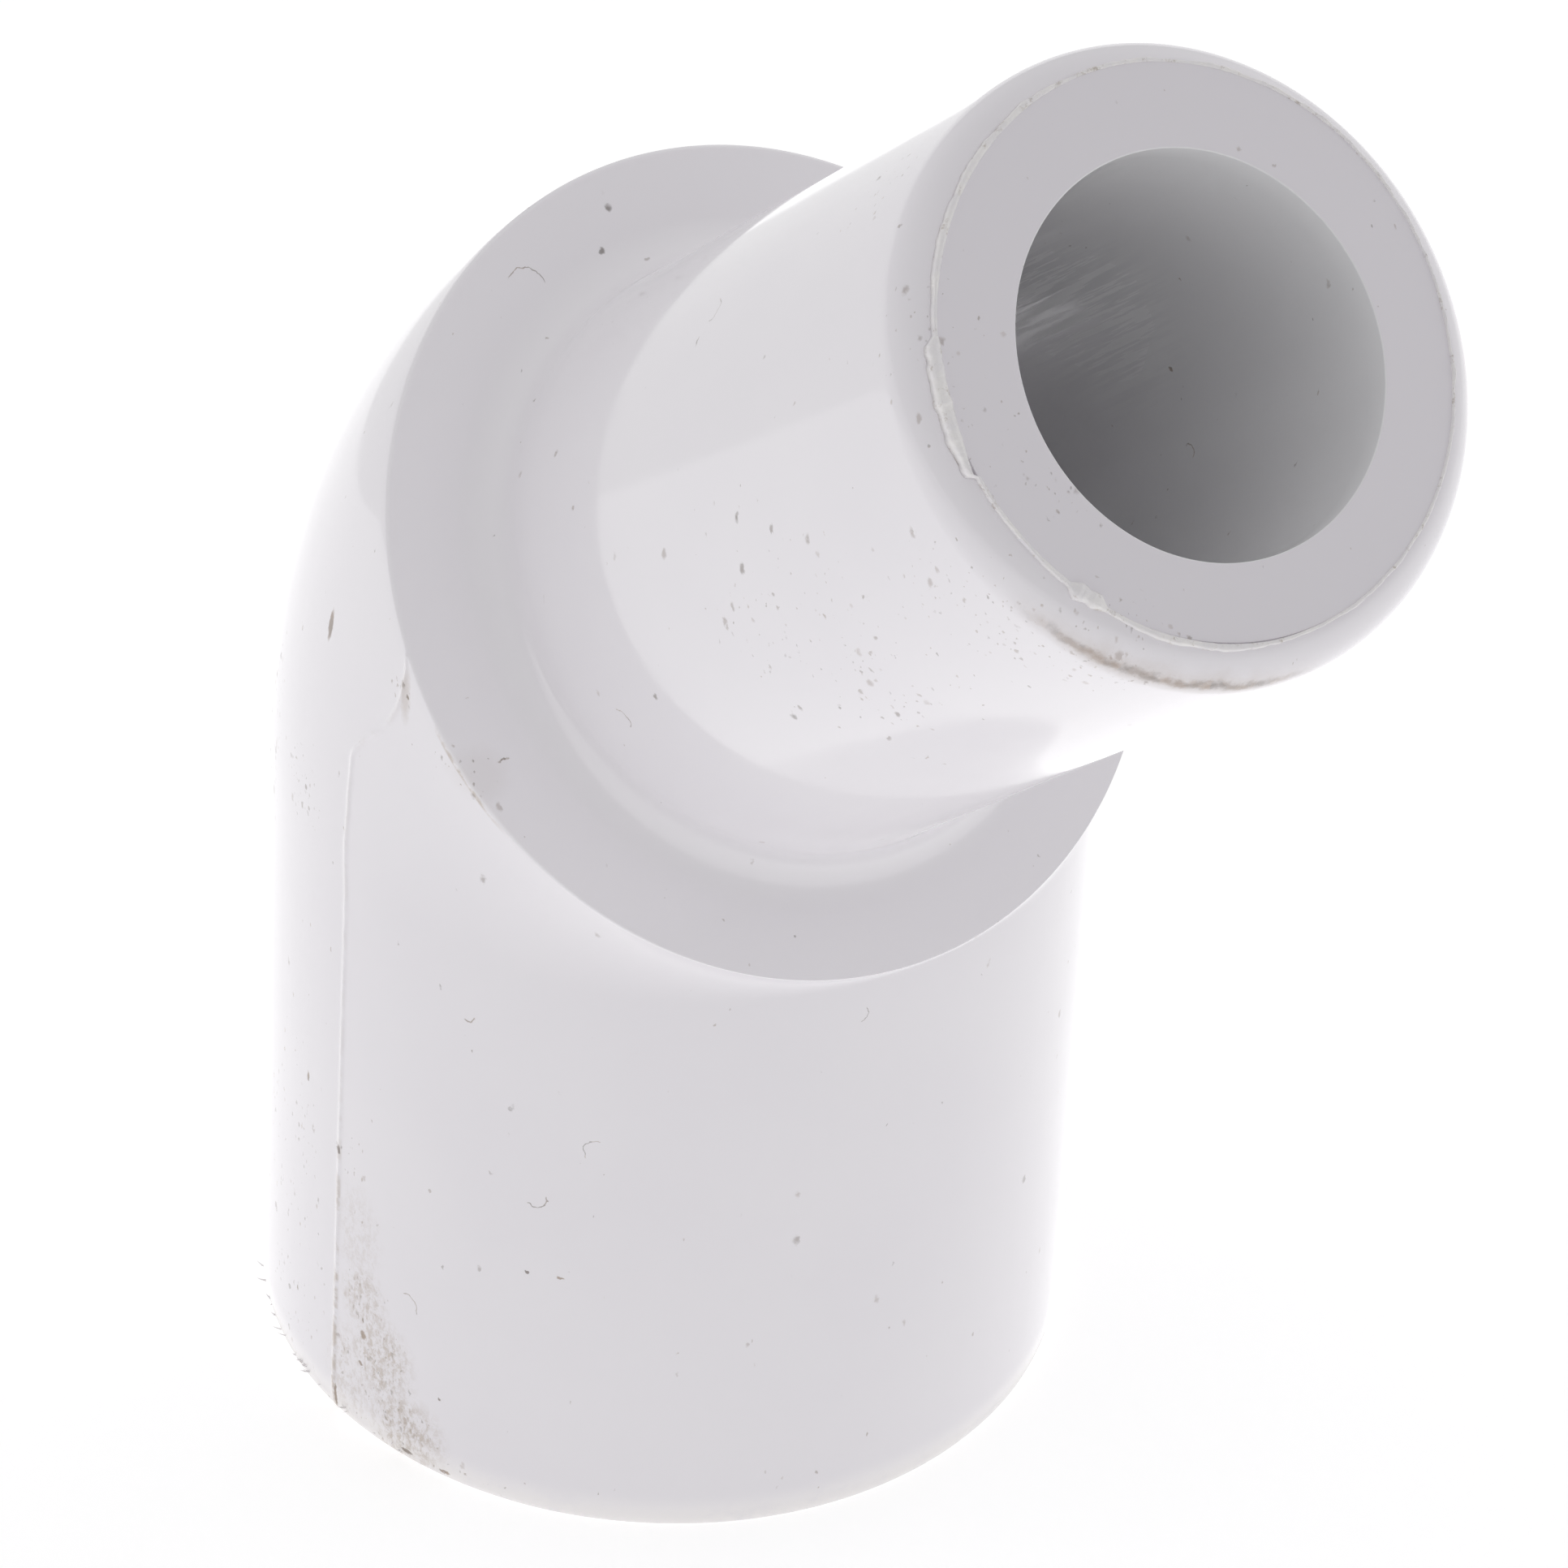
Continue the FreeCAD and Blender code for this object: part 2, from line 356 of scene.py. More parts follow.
def build_flash():
    """The thin torn flash round the edge of the end face."""
    degrees, heights, widths, offsets = np.array(FLASH).T
    angle = np.linspace(-math.pi, math.pi, FLASH_COLUMNS, endpoint=False)
    where = np.degrees(angle)
    rough = {
        scale: np.array([noise.noise(Vector((math.cos(a), math.sin(a), scale)) * scale) for a in angle])
        for scale in (9, 31, 83)
    }
    tear = 1 + 0.5 * rough[9] + 0.35 * rough[31] + 0.25 * rough[83]
    height = np.interp(where, degrees, heights) * np.maximum(tear, 0.15)
    width = np.interp(where, degrees, widths) * (1 + 0.4 * rough[9] + 0.25 * rough[31])
    middle = step_radius(angle) - 0.03 + np.interp(where, degrees, offsets)
    middle = middle + 0.04 * rough[9] + 0.012 * rough[31]
    across = np.array([SPIGOT_AXIS[2], 0, -SPIGOT_AXIS[0]])
    rows = []
    for side, lift in FLASH_SECTION:
        if lift is None:
            depth = np.full(FLASH_COLUMNS, -FLASH_SUNK_IN if side < 0 else -FLASH_SUNK_OUT)
        else:
            depth = lift * height
        centre = CROSSING + np.outer(SPIGOT_END + depth, SPIGOT_AXIS)
        radius = middle + side * width
        out = np.outer(radius * np.cos(angle), across) + np.outer(radius * np.sin(angle), Y_AXIS)
        rows.append(centre + out)
    return new_object("end_flash", np.concatenate(rows), ring_faces(len(rows), FLASH_COLUMNS))


def whisker(root, way, length, girth):
    """Points and faces of one small curved spike."""
    way = way / np.linalg.norm(way)
    side = np.cross(way, Z_AXIS)
    side /= np.linalg.norm(side)
    other = np.cross(side, way)
    points, faces = [], []
    for step in range(WHISKER_STEPS):
        share = step / (WHISKER_STEPS - 1)
        centre = root + way * length * share + other * length * 0.25 * share ** 2
        for corner in range(WHISKER_SIDES):
            turn = 2 * math.pi * corner / WHISKER_SIDES
            out = side * math.cos(turn) + other * math.sin(turn)
            points.append(centre + out * girth * (1.05 - share))
    for step in range(WHISKER_STEPS - 1):
        for corner in range(WHISKER_SIDES):
            here = step * WHISKER_SIDES + corner
            beside = step * WHISKER_SIDES + (corner + 1) % WHISKER_SIDES
            faces.append((here, here + WHISKER_SIDES, beside + WHISKER_SIDES, beside))
    faces.append(tuple(range(WHISKER_SIDES)))
    tip = (WHISKER_STEPS - 1) * WHISKER_SIDES
    faces.append(tuple(range(tip, tip + WHISKER_SIDES))[::-1])
    return points, faces


def build_burrs():
    """Whiskers of plastic left on the outer edge of the socket's mouth, mostly near the seam."""
    dice = np.random.default_rng(7)
    points, faces = [], []
    for _ in range(BURRS):
        turn = math.radians(BURRS_MIDDLE + dice.normal(0, BURRS_SPREAD))
        out = np.array([math.cos(turn), math.sin(turn), 0])
        along = np.array([-math.sin(turn), math.cos(turn), 0])
        climb = dice.uniform(0.06, 0.45)
        root = out * (mouth_radius(climb) - 0.03) + Z_AXIS * climb
        way = out * dice.uniform(0.5, 1) + along * dice.normal(0, 0.8)
        way = way + Z_AXIS * dice.uniform(-0.05, 0.3)
        spike, sides = whisker(root, way, dice.uniform(0.12, 0.42), dice.uniform(0.02, 0.05))
        faces += [tuple(len(points) + corner for corner in side) for side in sides]
        points += spike
    return new_object("mouth_burrs", points, faces)


# ---------------------------------------------------------------- materials
class Graph:
    """A short way to add shader nodes and join them up."""

    def __init__(self, tree):
        self.tree = tree
        tree.nodes.clear()

    def node(self, kind, inputs=(), **settings):
        made = self.tree.nodes.new(kind)
        for key, value in settings.items():
            setattr(made, key, value)
        for key, value in dict(inputs).items():
            if isinstance(value, bpy.types.NodeSocket):
                self.tree.links.new(value, made.inputs[key])
            else:
                made.inputs[key].default_value = value
        return made

    def math(self, operation, a, b=0.0, c=0.0):
        return self.node("ShaderNodeMath", {0: a, 1: b, 2: c}, operation=operation).outputs[0]

    def times(self, product, *others):
        """The product of sockets and numbers."""
        for other in others:
            product = self.math("MULTIPLY", product, other)
        return product

    def vector(self, operation, a, b=(0, 0, 0), result=0):
        return self.node("ShaderNodeVectorMath", {0: a, 1: b}, operation=operation).outputs[result]

    def mapped(self, value, low, high, to_low=0.0, to_high=1.0):
        """An even S from to_low at low to to_high at high."""
        inputs = {"Value": value, "From Min": low, "From Max": high, "To Min": to_low, "To Max": to_high}
        return self.node("ShaderNodeMapRange", inputs, interpolation_type="SMOOTHSTEP").outputs[0]

    def noise(self, spot, scale, detail=2.0, roughness=0.5):
        inputs = {"Vector": spot, "Scale": scale, "Detail": detail, "Roughness": roughness}
        return self.node("ShaderNodeTexNoise", inputs).outputs["Fac"]

    def mix(self, share, a, b):
        made = self.node("ShaderNodeMix", data_type="RGBA")
        for socket, value in ((made.inputs[0], share), (made.inputs[6], a), (made.inputs[7], b)):
            if isinstance(value, bpy.types.NodeSocket):
                self.tree.links.new(value, socket)
            else:
                socket.default_value = value
        return made.outputs[2]

    def millimetres(self):
        """The point's place on the object, in millimetres."""
        spot = self.node("ShaderNodeTexCoord").outputs["Object"]
        return self.vector("MULTIPLY", spot, (1 / MM, 1 / MM, 1 / MM))

    def largest(self, values):
        most = values[0]
        for value in values[1:]:
            most = self.math("MAXIMUM", most, value)
        return most

    def near(self, spot, centre, radii, core=0.3):
        """1 in the core of an ellipsoid, falling to 0 at its surface."""
        away = self.vector("DIVIDE", self.vector("SUBTRACT", spot, centre), radii)
        return self.mapped(self.vector("LENGTH", away, result="Value"), 1.0, core)

    def specks(self, spot, cell, smallest, biggest, density):
        """Small round marks, at most one a cell, and a random tone for each; lengths in millimetres."""
        cells = self.node("ShaderNodeTexVoronoi", {"Vector": spot, "Scale": 1 / cell}, feature="F1")
        dice = self.node("ShaderNodeSeparateColor", {"Color": cells.outputs["Color"]}).outputs
        kept = self.math("LESS_THAN", dice[0], density)
        squared = self.math("MULTIPLY", dice[1], dice[1])
        reach = self.math("MULTIPLY_ADD", squared, (biggest - smallest) / cell, smallest / cell)
        inside = self.mapped(self.math("DIVIDE", cells.outputs["Distance"], reach), 1.15, 0.35)
        strength = self.math("MULTIPLY_ADD", dice[2], 0.6, 0.3)
        return self.times(kept, inside, strength), dice[2]

    def fibre(self, spot, centre, radius, width, way, opening):
        """Part of a thin ring about a point, on the side that way points to."""
        away = self.vector("SUBTRACT", spot, centre)
        off = self.math("SUBTRACT", self.vector("LENGTH", away, result="Value"), radius)
        side = self.vector("DOT_PRODUCT", away, way, result="Value")
        return self.times(self.mapped(self.math("ABSOLUTE", off), width, width * 0.3),
                          self.mapped(side, opening * radius, (opening + 0.2) * radius))


# where the grime is, in millimetres: centre, radii, how much
GRIME = (
    ((1.1, -14.8, 9.0), (1.6, 1.6, 3.0), 0.32),       # the smudge beside the seam, from its top
    ((1.5, -14.7, 6.2), (1.5, 1.6, 2.2), 0.80),
    ((2.4, -14.5, 4.0), (2.0, 1.8, 2.6), 1.00),
    ((3.6, -14.2, 1.4), (2.3, 2.0, 2.2), 1.00),
    ((0.8, -14.8, 2.4), (1.7, 1.6, 2.8), 0.55),
    ((-3.4, -14.3, 8.0), (3.4, 2.6, 9.5), 0.50),      # left of the seam
    ((0.3, -14.8, 12.6), (1.0, 1.5, 2.6), 0.60),
    ((-3.3, -14.4, 26.5), (2.4, 2.0, 2.3), 1.00),     # where the hub turns into the bend
    ((-6.6, -13.3, 26.4), (1.5, 2.2, 5.0), 1.00),
    ((-3.2, -14.5, 3.6), (2.4, 2.0, 4.6), 0.55),
    ((-9.4, -11.6, 30.5), (2.6, 3.4, 5.5), 1.00),
    ((3.1, -14.8, 34.6), (0.8, 0.9, 1.3), 0.90),
    ((6.0, -14.4, 32.9), (2.1, 1.2, 1.3), 0.75),
    ((29.6, -7.2, 49.4), (3.8, 3.4, 3.0), 0.95),      # the foot of the end rounding
    ((26.4, -9.6, 50.4), (4.6, 2.6, 3.4), 0.75),
    ((19.5, -9.5, 45.0), (9.0, 3.8, 7.0), 0.36),
    ((21.6, -8.6, 56.6), (2.6, 2.6, 3.6), 0.55),
    ((15.4, -6.4, 59.6), (2.4, 3.0, 2.8), 0.40),
    ((26.8, -6.6, 54.2), (1.7, 1.7, 1.7), 0.80),      # the bore's lower edge
    ((24.8, -8.6, 55.2), (2.4, 2.0, 2.8), 0.40),
)
SMUDGES = 5                  # the first of them are smeared as well as speckled

# curved fibres stuck to it: centre, radius, half width, the side that shows, and where it starts
FIBRES = (
    ((8.2, -12.3, 14.6), 0.42, 0.035, (0.5, 0.2, -0.85), 0.20),
    ((9.9, -11.0, 17.2), 0.50, 0.025, (-0.8, -0.3, 0.5), 0.25),
    ((9.15, -7.1, 50.9), 0.45, 0.030, (0.8, -0.2, 0.5), 0.20),
    ((9.6, -7.6, 50.0), 0.40, 0.030, (-0.8, 0.2, -0.5), 0.20),
    ((-3.9, -4.8, 43.3), 0.75, 0.030, (-0.6, 0.4, 0.6), 0.30),
    ((9.2, -10.2, 35.4), 0.38, 0.028, (0.6, 0.3, 0.7), 0.10),
    ((20.7, -7.0, 39.8), 0.40, 0.035, (0.6, -0.5, -0.6), 0.05),
    ((14.4, -3.3, 22.9), 0.32, 0.025, (0.5, 0.8, -0.3), 0.30),
    ((18.1, 6.3, 45.05), 0.30, 0.035, (0.2, 0.2, 0.9), 0.10),
    ((5.7, -13.6, 21.8), 0.28, 0.035, (0.2, 0.2, -0.9), 0.35),
    ((3.6, -14.3, 7.4), 0.45, 0.035, (0.7, 0.0, 0.7), 0.25),
    ((11.0, -10.6, 46.4), 0.30, 0.025, (0.3, 0.0, -0.9), 0.25),
)
MARKS = (                    # single dark marks: centre and radii
    ((-2.24, -14.01, 33.85), (0.19, 0.5, 0.72)),
    ((-2.24, -14.62, 14.1), (0.10, 0.5, 0.28)),
    ((16.3, 6.8, 47.2), (0.11, 0.3, 0.11)),
    ((6.3, -12.95, 33.0), (0.08, 0.3, 0.09)),
    ((7.6, -12.7, 29.6), (0.10, 0.3, 0.16)),
    ((-0.08, -14.8, 12.3), (0.14, 0.4, 0.22)),
    ((0.02, -14.8, 0.7), (0.09, 0.4, 0.7)),
    ((1.5, -14.7, 4.6), (0.15, 0.4, 0.24)),
    ((1.4, -14.7, 3.2), (0.09, 0.3, 0.12)),
    ((1.5, -14.7, 5.3), (0.08, 0.3, 0.14)),
    ((5.1, -13.9, 3.7), (0.07, 0.3, 0.09)),
    ((3.7, -14.3, 0.4), (0.30, 0.4, 0.12)),
    ((5.3, -13.8, 0.3), (0.26, 0.4, 0.10)),
    ((8.0, -12.4, 11.1), (0.06, 0.3, 0.07)),
    ((9.0, -11.7, 11.2), (0.12, 0.3, 0.06)),
    ((-2.8, -14.5, 3.7), (0.07, 0.3, 0.15)),
    ((3.30, -14.75, 34.55), (0.10, 0.4, 0.12)),
)


# thin lines of dirt: how far along the spigot's axis, and where they show
FOOT_LINE = SPIGOT_END - END_ROUNDING + 0.62               # at the foot of the end rounding
FOOT_LINE_FROM = (math.radians(-66), math.radians(-44))    # it fades in and out between these, round the spigot
FOOT_LINE_TO = (math.radians(4), math.radians(-18))
RIM_LINE = SHOULDER - 0.22                                 # on the shoulder's rim
RIM_LINE_PLACE = ((6.2, -14.4, 32.8), (3.0, 1.6, 2.4))     # centre and radii, here and below
MOUTH_DIRT = ((3.0, -14.8, 0), (9, 5, 3))
RIM_HAZE = ((6.5, -14.0, 32.9), (1.9, 1.4, 1.1))
FORK_HAZE = ((3.15, -14.8, 34.5), (0.35, 0.8, 1.4))        # where the seam meets the rim

# where the bore's scratches are, and their painted highlight
SCUFF_HIGHLIGHT_CENTRE = CROSSING + SPIGOT_AXIS * 21 + np.array([-3.0, 5.6, 3.0])     # in the bore
SCUFF_HIGHLIGHT_RADII = (6.5, 3.6, 6.5)
SCUFF_BUMP, CLOUD_BUMP, TORN_BUMP = 0.02 * MM, 0.0006 * MM, 0.03 * MM

CLOUDED = ((0.875, 0.848, 0.888, 1), (0.89, 0.864, 0.90, 1))               # the plastic varies between these
# painted light: the shoulder is made lighter than the rest
SHOULDER_PAINTED_LIGHT = (0.965, 0.94, 0.975, 1)
# painted shade: the end face is made darker than the rest
END_FACE_PAINTED_SHADE = (0.845, 0.815, 0.86, 1)
# painted light: the bore is made a little lighter than the rest
BORE_PAINTED_LIGHT = (0.905, 0.90, 0.915, 1)
# a faint creamy tint at the mouth, made lighter as a painted glow of light from the floor
MOUTH_TINT_AND_GLOW = (0.985, 0.955, 0.955, 1)
# a painted highlight on the scratches in the bore
SCRATCH_HIGHLIGHT_COLOUR = (0.99, 0.99, 0.99, 1)
HAZE_COLOUR = (0.40, 0.30, 0.20, 1)
DIRT_COLOURS = ((0.34, 0.23, 0.15, 1), (0.11, 0.08, 0.06, 1))
TORN_COLOURS = ((0.90, 0.875, 0.895, 1), (0.95, 0.925, 0.92, 1))
STAIN_COLOUR = (0.32, 0.24, 0.16, 1)
PLASTIC_IOR = 1.5


class Point:
    """A point of the moulding: where it is, in millimetres and about the spigot's axis, and on what part."""

    def __init__(self, g):
        self.spot = g.millimetres()
        grain = g.node("ShaderNodeTexNoise", {"Vector": self.spot, "Scale": 4.0, "Detail": 2.0})
        wobble = g.vector("SUBTRACT", grain.outputs["Color"], (0.5, 0.5, 0.5))
        self.torn = g.vector("ADD", self.spot, g.vector("MULTIPLY", wobble, (0.26, 0.26, 0.26)))
        self.clump = g.noise(self.spot, 0.9, 4, 0.65)

        away = g.vector("SUBTRACT", self.spot, tuple(CROSSING))
        self.along = g.vector("DOT_PRODUCT", away, tuple(SPIGOT_AXIS), result="Value")
        across = g.vector("DOT_PRODUCT", away, (SPIGOT_AXIS[2], 0, -SPIGOT_AXIS[0]), result="Value")
        parts = g.node("ShaderNodeSeparateXYZ", {0: self.spot}).outputs
        self.height = parts["Z"]
        self.angle = g.math("ARCTAN2", parts["Y"], across)
        squares = g.math("MULTIPLY_ADD", parts["Y"], parts["Y"], g.times(across, across))
        self.reach = g.math("SQRT", squares)

        in_spigot = g.math("GREATER_THAN", self.along, 0.0)
        self.bore = g.times(g.mapped(self.reach, WATER_R + 0.05, WATER_R + 0.02), in_spigot)
        self.mouth = g.mapped(self.height, 1.6, 0.2)
        # where the mouth has its creamy tint, its painted glow of floor light and its wear
        self.tint_glow_and_wear = g.times(self.mouth, g.mapped(self.clump, 0.30, 0.55, 0.6, 1.0))


def plastic_colour_and_painted_light(g, at):
    """Faintly clouded white, with painted light on the shoulder and in the bore, painted shade on the end face,
    and a creamy tint under a painted glow at the mouth.
    """
    colour = g.mix(g.mapped(g.noise(at.spot, 0.12, 2), 0.3, 0.7), *CLOUDED)
    # painted light on the shoulder, up to the spigot's root
    shoulder = g.times(
        g.mapped(at.along, SHOULDER - 0.2, SHOULDER),
        g.mapped(at.along, SHOULDER + 5, SHOULDER + 1),
        g.mapped(at.reach, SPIGOT_R - 0.3, SPIGOT_R + 0.5),
    )
    colour = g.mix(shoulder, colour, SHOULDER_PAINTED_LIGHT)
    # painted shade on the end face
    colour = g.mix(g.mapped(at.along, SPIGOT_END - 0.12, SPIGOT_END - 0.03), colour, END_FACE_PAINTED_SHADE)
    # painted light in the bore
    colour = g.mix(at.bore, colour, BORE_PAINTED_LIGHT)
    # the mouth's creamy tint, under a painted glow of light from the floor
    return g.mix(at.tint_glow_and_wear, colour, MOUTH_TINT_AND_GLOW)


def foot_dirt(g, at):
    """The dark line at the foot of the end rounding, and the haze about it."""
    ragged = g.math("MULTIPLY_ADD", at.clump, 0.7, -0.35)
    off = g.math("ABSOLUTE", g.math("ADD", g.math("SUBTRACT", at.along, FOOT_LINE), ragged))
    span = g.times(
        g.mapped(at.angle, *FOOT_LINE_FROM), g.mapped(at.angle, *FOOT_LINE_TO),
        g.mapped(at.reach, WATER_R + 1, WATER_R + 2),
    )
    blotch = g.noise(at.spot, 2.6, 4, 0.7)
    line = g.times(g.mapped(off, 0.30, 0.02), span, g.mapped(blotch, 0.28, 0.60, 0.45, 1.0))
    return line, g.times(g.mapped(off, 0.75, 0.05), span, 0.26)


def seam_dirt(g, at):
    """Dirt held along the seam, thicker low down."""
    gap = g.node("ShaderNodeAttribute", attribute_name="from_seam").outputs["Fac"]
    return g.times(
        g.mapped(gap, 0.20, 0.05), g.mapped(at.clump, 0.42, 0.62), g.mapped(at.height, 15.5, 7.0, 0.10, 0.85)
    )


def rim_dirt(g, at):
    """A broken line of dirt on part of the shoulder's rim."""
    off = g.math("ABSOLUTE", g.math("SUBTRACT", at.along, RIM_LINE))
    return g.times(
        g.mapped(off, 0.16, 0.04), g.near(at.spot, *RIM_LINE_PLACE), g.mapped(at.clump, 0.36, 0.54)
    )


def grime(g, at):
    """How hazy and how dirty a point is, and the dirt's tone."""
    patches = [g.times(g.near(at.torn, centre, radii), much) for centre, radii, much in GRIME]
    smudge = g.largest(patches[:SMUDGES])
    lip = g.times(at.mouth, g.near(at.spot, *MOUTH_DIRT), 0.6)
    patch = g.largest([smudge, lip] + patches[SMUDGES:])
    patchy = g.times(patch, g.mapped(at.clump, 0.34, 0.60, 0.35, 1.0))
    tall = g.vector("MULTIPLY", at.torn, (1.0, 1.0, 0.55))
    density = g.math("MULTIPLY_ADD", patchy, 0.95, 0.022)
    coarse, tone = g.specks(tall, cell=0.46, smallest=0.045, biggest=0.16, density=density)
    density = g.math("MULTIPLY_ADD", patchy, 1.1, 0.012)
    fine, _ = g.specks(tall, cell=0.21, smallest=0.030, biggest=0.08, density=density)
    fibres = g.largest([g.fibre(at.torn, *fibre) for fibre in FIBRES])
    marks = g.largest([g.near(at.torn, centre, radii, core=0.6) for centre, radii in MARKS])
    foot_line, foot_haze = foot_dirt(g, at)
    streaks = g.noise(tall, 4.5, 4, 0.7)
    haze = g.largest([
        g.times(smudge, g.mapped(streaks, 0.40, 0.66, 0.06, 0.60)),
        foot_haze,
        g.times(rim_dirt(g, at), 0.55),
        g.times(seam_dirt(g, at), 0.7),
        g.times(g.near(at.torn, *RIM_HAZE), 0.08),
        g.times(g.near(at.torn, *FORK_HAZE), 0.32),
    ])
    dirt = g.largest([
        g.times(coarse, 0.9), g.times(fine, 0.8), g.times(fibres, 0.75), g.times(foot_line, 0.75),
        g.times(marks, 0.9),
    ])
    return haze, dirt, tone


def finish_material(g, colour, rough, height, strength):
    """Plastic with this colour, roughness and bump; the bump's height is in metres."""
    bump = g.node("ShaderNodeBump", {"Height": height, "Distance": 1.0, "Strength": strength})
    shader = g.node("ShaderNodeBsdfPrincipled", {
        "Base Color": colour, "Roughness": rough, "IOR": PLASTIC_IOR, "Normal": bump.outputs[0],
    })
    g.node("ShaderNodeOutputMaterial", {"Surface": shader.outputs[0]})


def pvc_material():
    """White PVC: faintly clouded and glossy, grimy in places, with scratches in the bore under a painted
    highlight, a creamy tint and painted glow at its mouth, painted light on the shoulder and in the bore, and
    painted shade on the end face.
    """
    material = bpy.data.materials.new("white_pvc_moulded")
    material.use_nodes = True
    g = Graph(material.node_tree)
    at = Point(g)

    # lengthwise scratches in the bore, where a tool has been pushed in, whitened as a painted highlight
    lanes = g.node("ShaderNodeCombineXYZ", {0: g.times(at.angle, WATER_R), 1: g.times(at.along, 0.05)})
    lane = g.noise(lanes.outputs[0], 3.2, 3.0, 0.7)
    scuff_and_highlight_zone = g.times(at.bore, g.near(at.spot, tuple(SCUFF_HIGHLIGHT_CENTRE), SCUFF_HIGHLIGHT_RADII))
    scratches_and_highlight = g.times(scuff_and_highlight_zone, g.mapped(lane, 0.42, 0.58))

    haze, dirt, tone = grime(g, at)
    # the scratches are whitened, a painted highlight
    colour = g.mix(scratches_and_highlight, plastic_colour_and_painted_light(g, at), SCRATCH_HIGHLIGHT_COLOUR)
    colour = g.mix(haze, colour, HAZE_COLOUR)
    colour = g.mix(g.times(dirt, 0.85), colour, g.mix(tone, *DIRT_COLOURS))

    rough = g.mapped(g.noise(at.spot, 0.5, 2), 0.3, 0.7, 0.06, 0.10)
    worn = g.largest([haze, dirt, g.times(at.tint_glow_and_wear, 0.5), scratches_and_highlight])
    rough = g.math("MULTIPLY_ADD", worn, 0.35, rough)
    height = g.math("MULTIPLY_ADD", g.noise(at.spot, 2.5, 1), CLOUD_BUMP, g.times(lane, SCUFF_BUMP))
    finish_material(g, colour, rough, height, scuff_and_highlight_zone)
    return material


def torn_material():
    """The same plastic where it has been torn or scraped: whiter, duller and picking up dirt."""
    material = bpy.data.materials.new("white_pvc_torn")
    material.use_nodes = True
    g = Graph(material.node_tree)
    spot = g.millimetres()
    colour = g.mix(g.mapped(g.noise(spot, 1.2, 3, 0.65), 0.35, 0.65), *TORN_COLOURS)
    stain = g.mapped(g.noise(spot, 2.1, 4, 0.75), 0.54, 0.70, 0.0, 0.55)
    colour = g.mix(stain, colour, STAIN_COLOUR)
    rough = g.mapped(g.noise(spot, 3.0, 3), 0.3, 0.7, 0.30, 0.55)
    height = g.times(g.noise(spot, 7.0, 4, 0.7), TORN_BUMP)
    finish_material(g, colour, rough, height, 1.0)
    return material


# ---------------------------------------------------------------- floor, light and camera
FLOOR_SIDE = 4.0             # metres, from the middle
FLOOR_COLOUR, FLOOR_ROUGHNESS, FLOOR_GLOW = (0.80, 0.80, 0.80, 1), 0.8, 0.485
ROOM_LIGHT = 0.385
SOFT_LIGHTS = (              # degrees round from the camera, left is minus; degrees up, narrowness, strength
    (0, 90, 4, 0.247),
    (-90, 15, 6, 0.120),
    (-135, 15, 6, 0.37),
    (135, 15, 6, 0.84),
    (0, 55, 6, 0.083),
    (-90, 55, 6, 0.315),
)
CARD_GLOW = 0.38
CARD_X, CARD_Y, CARD_Z = (-0.100, 0.300), (-0.300, 0.300), 0.0004      # metres

AZIMUTH, ELEVATION, ROLL = math.radians(-39.714), math.radians(37.714), math.radians(3.324)
DISTANCE = 21.860 * HUB_R
AIM_UP = 1.8 * HUB_R         # what the camera looks at is this far above the origin,
AIM_RIGHT, AIM_DOWN = 0.2423 * HUB_R, 0.22021 * HUB_R    # and then this far off in the picture
LENS, SENSOR = 210.1, 36
CLIP = (0.01, 20)            # metres
CAMERA_BACK = np.array([
    math.cos(AZIMUTH) * math.cos(ELEVATION), math.sin(AZIMUTH) * math.cos(ELEVATION), math.sin(ELEVATION)
])


def build_floor():
    """A pale floor, which glows because the photo's is blown out to white."""
    side = FLOOR_SIDE
    mesh = bpy.data.meshes.new("floor")
    corners = [(-side, -side, 0), (side, -side, 0), (side, side, 0), (-side, side, 0)]
    mesh.from_pydata(corners, [], [(0, 1, 2, 3)])
    floor = bpy.data.objects.new("floor", mesh)
    bpy.context.scene.collection.objects.link(floor)
    material = bpy.data.materials.new("pale_floor")
    material.use_nodes = True
    g = Graph(material.node_tree)
    shader = g.node("ShaderNodeBsdfPrincipled", {
        "Base Color": FLOOR_COLOUR, "Roughness": FLOOR_ROUGHNESS,
        "Emission Color": (1, 1, 1, 1), "Emission Strength": FLOOR_GLOW,
    })
    g.node("ShaderNodeOutputMaterial", {"Surface": shader.outputs[0]})
    floor.data.materials.append(material)


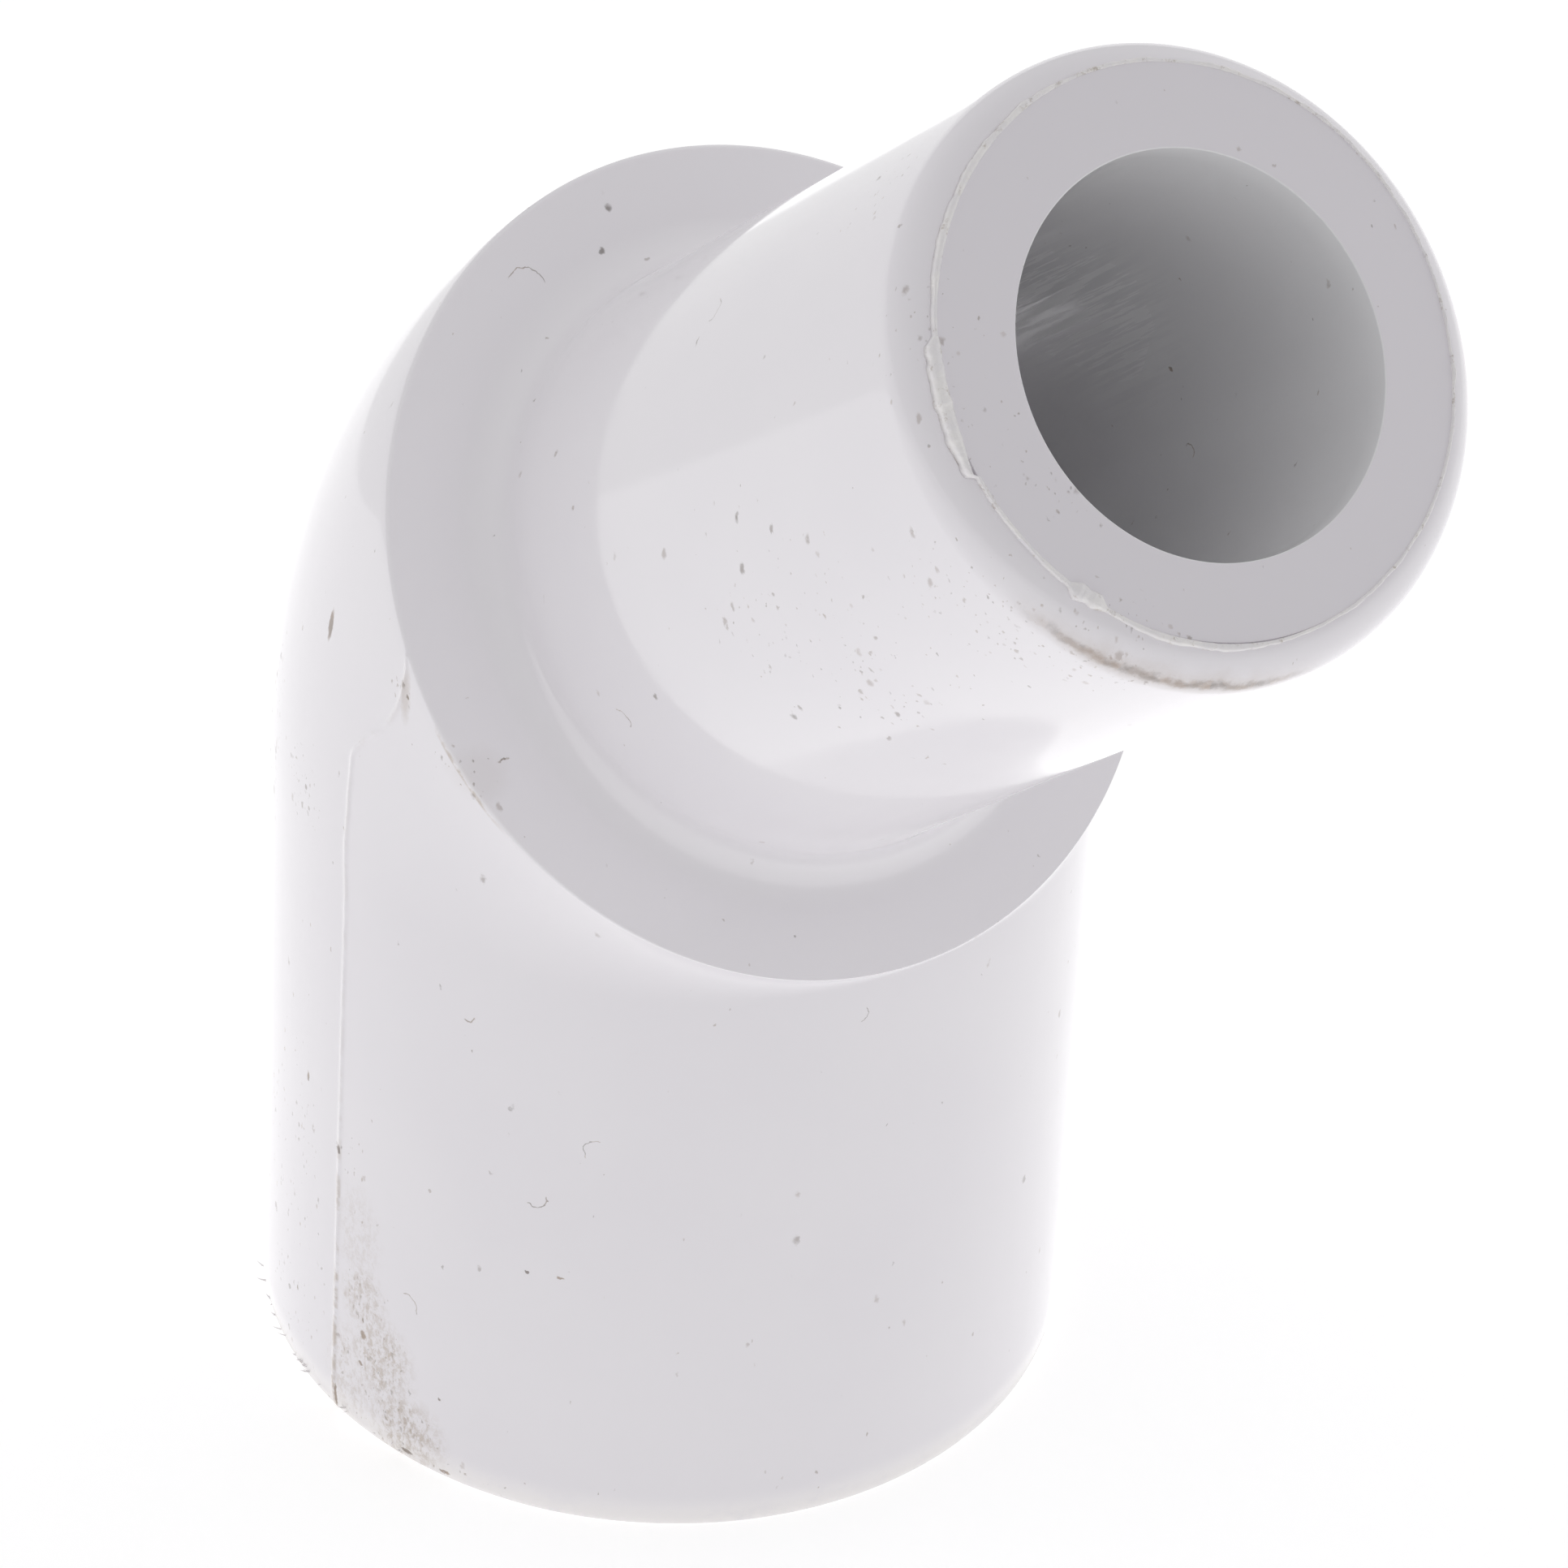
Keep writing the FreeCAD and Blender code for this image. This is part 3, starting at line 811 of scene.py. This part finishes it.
def build_world():
    """A pale room with soft lights at the left and behind, and the brightest one behind on the right."""
    world = bpy.data.worlds.new("studio")
    world.use_nodes = True
    bpy.context.scene.world = world
    g = Graph(world.node_tree)
    way = g.node("ShaderNodeTexCoord").outputs["Generated"]
    to_camera = Vector((CAMERA_BACK[0], CAMERA_BACK[1], 0)).normalized()
    strength = ROOM_LIGHT
    for turn, height, width, power in SOFT_LIGHTS:
        turn, height = math.radians(turn), math.radians(height)
        across = Matrix.Rotation(turn, 3, "Z") @ to_camera
        aim = across * math.cos(height) + Vector(Z_AXIS) * math.sin(height)
        facing = g.math("MAXIMUM", g.vector("DOT_PRODUCT", way, tuple(aim), result="Value"), 0.0)
        strength = g.math("MULTIPLY_ADD", g.math("POWER", facing, width), power, strength)
    light = g.node("ShaderNodeBackground", {"Color": (1, 1, 1, 1), "Strength": strength})
    g.node("ShaderNodeOutputWorld", {"Surface": light.outputs[0]})


def build_card():
    """A lit card lying on the floor to the left, which shows only in the gloss."""
    width, depth = CARD_X[1] - CARD_X[0], CARD_Y[1] - CARD_Y[0]
    light = bpy.data.lights.new("card", "AREA")
    light.shape = "RECTANGLE"
    light.size, light.size_y = width, depth
    light.energy = math.pi * width * depth * CARD_GLOW
    card = bpy.data.objects.new("card", light)
    bpy.context.scene.collection.objects.link(card)
    card.location = (sum(CARD_X) / 2, sum(CARD_Y) / 2, CARD_Z)
    card.rotation_euler = (math.pi, 0, 0)
    card.visible_camera = False
    card.visible_diffuse = False


def build_camera():
    """The camera that was fitted to the photo."""
    back = Vector(CAMERA_BACK)
    right = (-back).cross(Vector(Z_AXIS)).normalized()
    up = right.cross(-back)
    aim = Vector((0, 0, AIM_UP)) + right * AIM_RIGHT - up * AIM_DOWN
    data = bpy.data.cameras.new("camera")
    data.lens = LENS
    data.sensor_width = SENSOR
    data.clip_start, data.clip_end = CLIP
    camera = bpy.data.objects.new("camera", data)
    bpy.context.scene.collection.objects.link(camera)
    x = right * math.cos(ROLL) + up * math.sin(ROLL)
    y = up * math.cos(ROLL) - right * math.sin(ROLL)
    turn = Matrix((x, y, back)).transposed().to_4x4()
    camera.matrix_world = Matrix.Translation((aim + back * DISTANCE) * MM) @ turn
    bpy.context.scene.camera = camera


moulding, flash, burrs = build_moulding(), build_flash(), build_burrs()
moulding.data.materials.append(pvc_material())
torn_plastic = torn_material()
for scrap in (flash, burrs):
    scrap.data.materials.append(torn_plastic)
for piece in (moulding, flash, burrs):
    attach(piece, "root")
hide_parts("elbow_body")
build_floor()
build_world()
build_card()
build_camera()
bpy.context.scene.view_settings.view_transform = "Standard"
